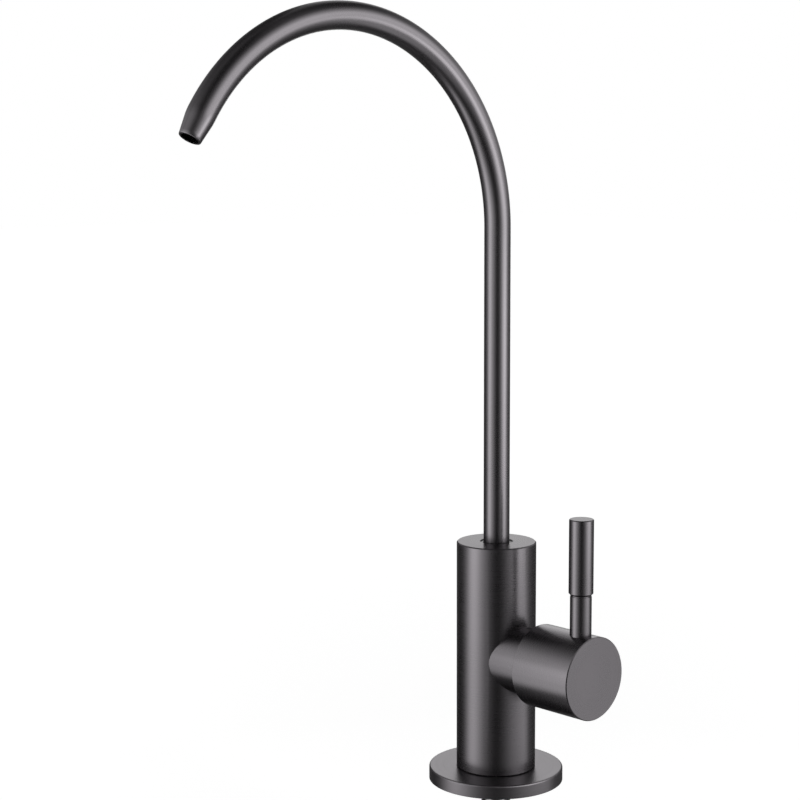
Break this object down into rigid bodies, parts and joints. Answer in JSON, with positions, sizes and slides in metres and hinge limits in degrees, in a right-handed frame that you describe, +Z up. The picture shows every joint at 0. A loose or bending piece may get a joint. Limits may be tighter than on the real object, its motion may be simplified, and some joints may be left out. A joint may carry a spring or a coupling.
{
  "type": "drinking water filter tap",
  "caption": "Deck-mounted filter tap: round column on a base plate, thin swivel gooseneck spout with a tapered nozzle, and a side lever that works a quarter-turn ceramic disc valve.",
  "frame": {"origin": "centre of the base plate's underside, where it meets the worktop, on the column's axis", "axes": "+Z up along the column, -Y the way the spout reaches at rest, +X the way the lever hub stands out"},
  "size_m": [0.0748, 0.1692, 0.3385],
  "materials": {
    "gunmetal": "satin dark grey coating on stainless steel",
    "stainless": "turned, bright",
    "brass": "turned",
    "rubber": "matt moulded",
    "ceramic": "lapped alumina",
    "polymer": "machined"
  },
  "bodies": {
    "body": {"column_body": "gunmetal", "base_plate": "gunmetal", "base_gasket": "rubber", "threaded_shank": "stainless", "shank_seal": "rubber", "deck_rubber_washer": "rubber", "deck_steel_washer": "stainless", "lock_nut": "stainless", "spout_bush": "polymer", "spout_grub_screw": "stainless", "cartridge_housing": "brass", "housing_o_ring": "rubber", "seat_seal": "rubber", "fixed_disc": "ceramic", "bonnet_nut": "brass"},
    "handle": {"moving_disc": "ceramic", "spindle": "brass", "spindle_o_rings": "rubber", "slip_washer": "polymer", "spindle_circlip": "stainless", "lever_hub": "gunmetal", "lever_stem": "gunmetal", "lever_grip": "gunmetal", "hub_grub_screw": "stainless"},
    "spout": {"spout_tube": "gunmetal", "spout_ferrule": "brass", "spout_o_rings": "rubber"}
  },
  "joints": [
    {"name": "handle_turn", "type": "hinge", "parent": "body", "child": "handle", "pos_m": [0, 0, 0.0487], "axis": [1, 0, 0], "range_deg": [0, 90]},
    {"name": "spout_swivel", "type": "hinge", "parent": "body", "child": "spout", "pos_m": [0, 0, 0], "axis": [0, 0, 1], "continuous": true}
  ]
}
